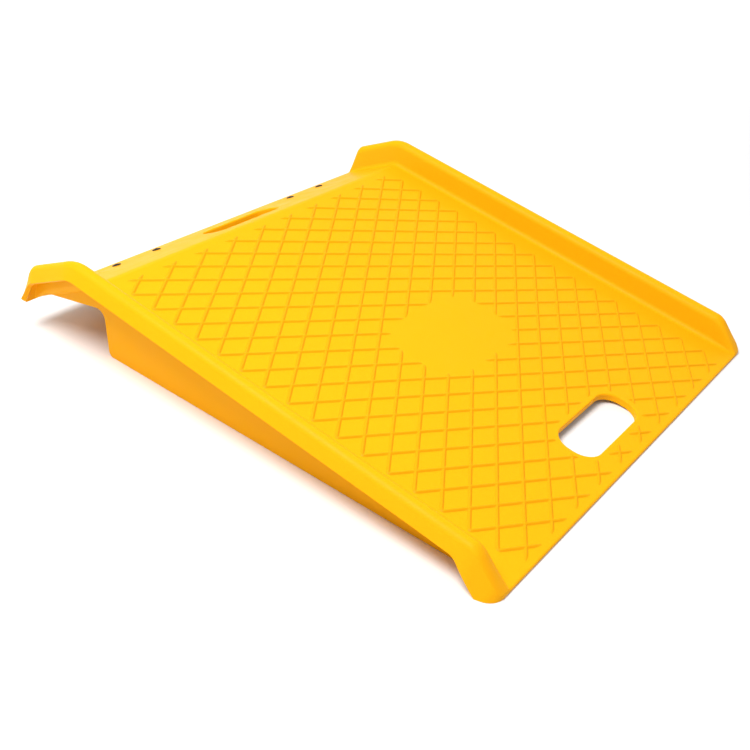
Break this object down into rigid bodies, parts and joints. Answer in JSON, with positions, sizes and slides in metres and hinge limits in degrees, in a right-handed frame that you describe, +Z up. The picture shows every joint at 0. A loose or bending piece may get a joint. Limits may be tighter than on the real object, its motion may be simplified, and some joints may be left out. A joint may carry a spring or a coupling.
{
  "type": "ramp leveler",
  "caption": "Portable plastic ramp leveler: a sloping tread deck between raised side rails, a hand hole near the toe, and a down-turned slotted lip with rubber pads that rests over a kerb.",
  "frame": {"origin": "on the ground, under the middle of the ramp's bounding box", "axes": "+Z up, +X across the ramp, +Y from the toe up the ramp towards the kerb"},
  "size_m": [0.6986, 0.6872, 0.1171],
  "materials": {
    "yellow_plastic": "satin moulded",
    "black_rubber": "matte",
    "black_steel": "satin black",
    "zinc_steel": "zinc plated"
  },
  "bodies": {
    "root": {"ramp_moulding": "yellow_plastic", "lip_pad_left": "black_rubber", "lip_pad_right": "black_rubber", "bolt_1": "black_steel", "bolt_2": "black_steel", "bolt_3": "black_steel", "bolt_4": "black_steel", "washer_1": "zinc_steel", "washer_2": "zinc_steel", "washer_3": "zinc_steel", "washer_4": "zinc_steel", "nut_1": "zinc_steel", "nut_2": "zinc_steel", "nut_3": "zinc_steel", "nut_4": "zinc_steel"}
  },
  "joints": []
}
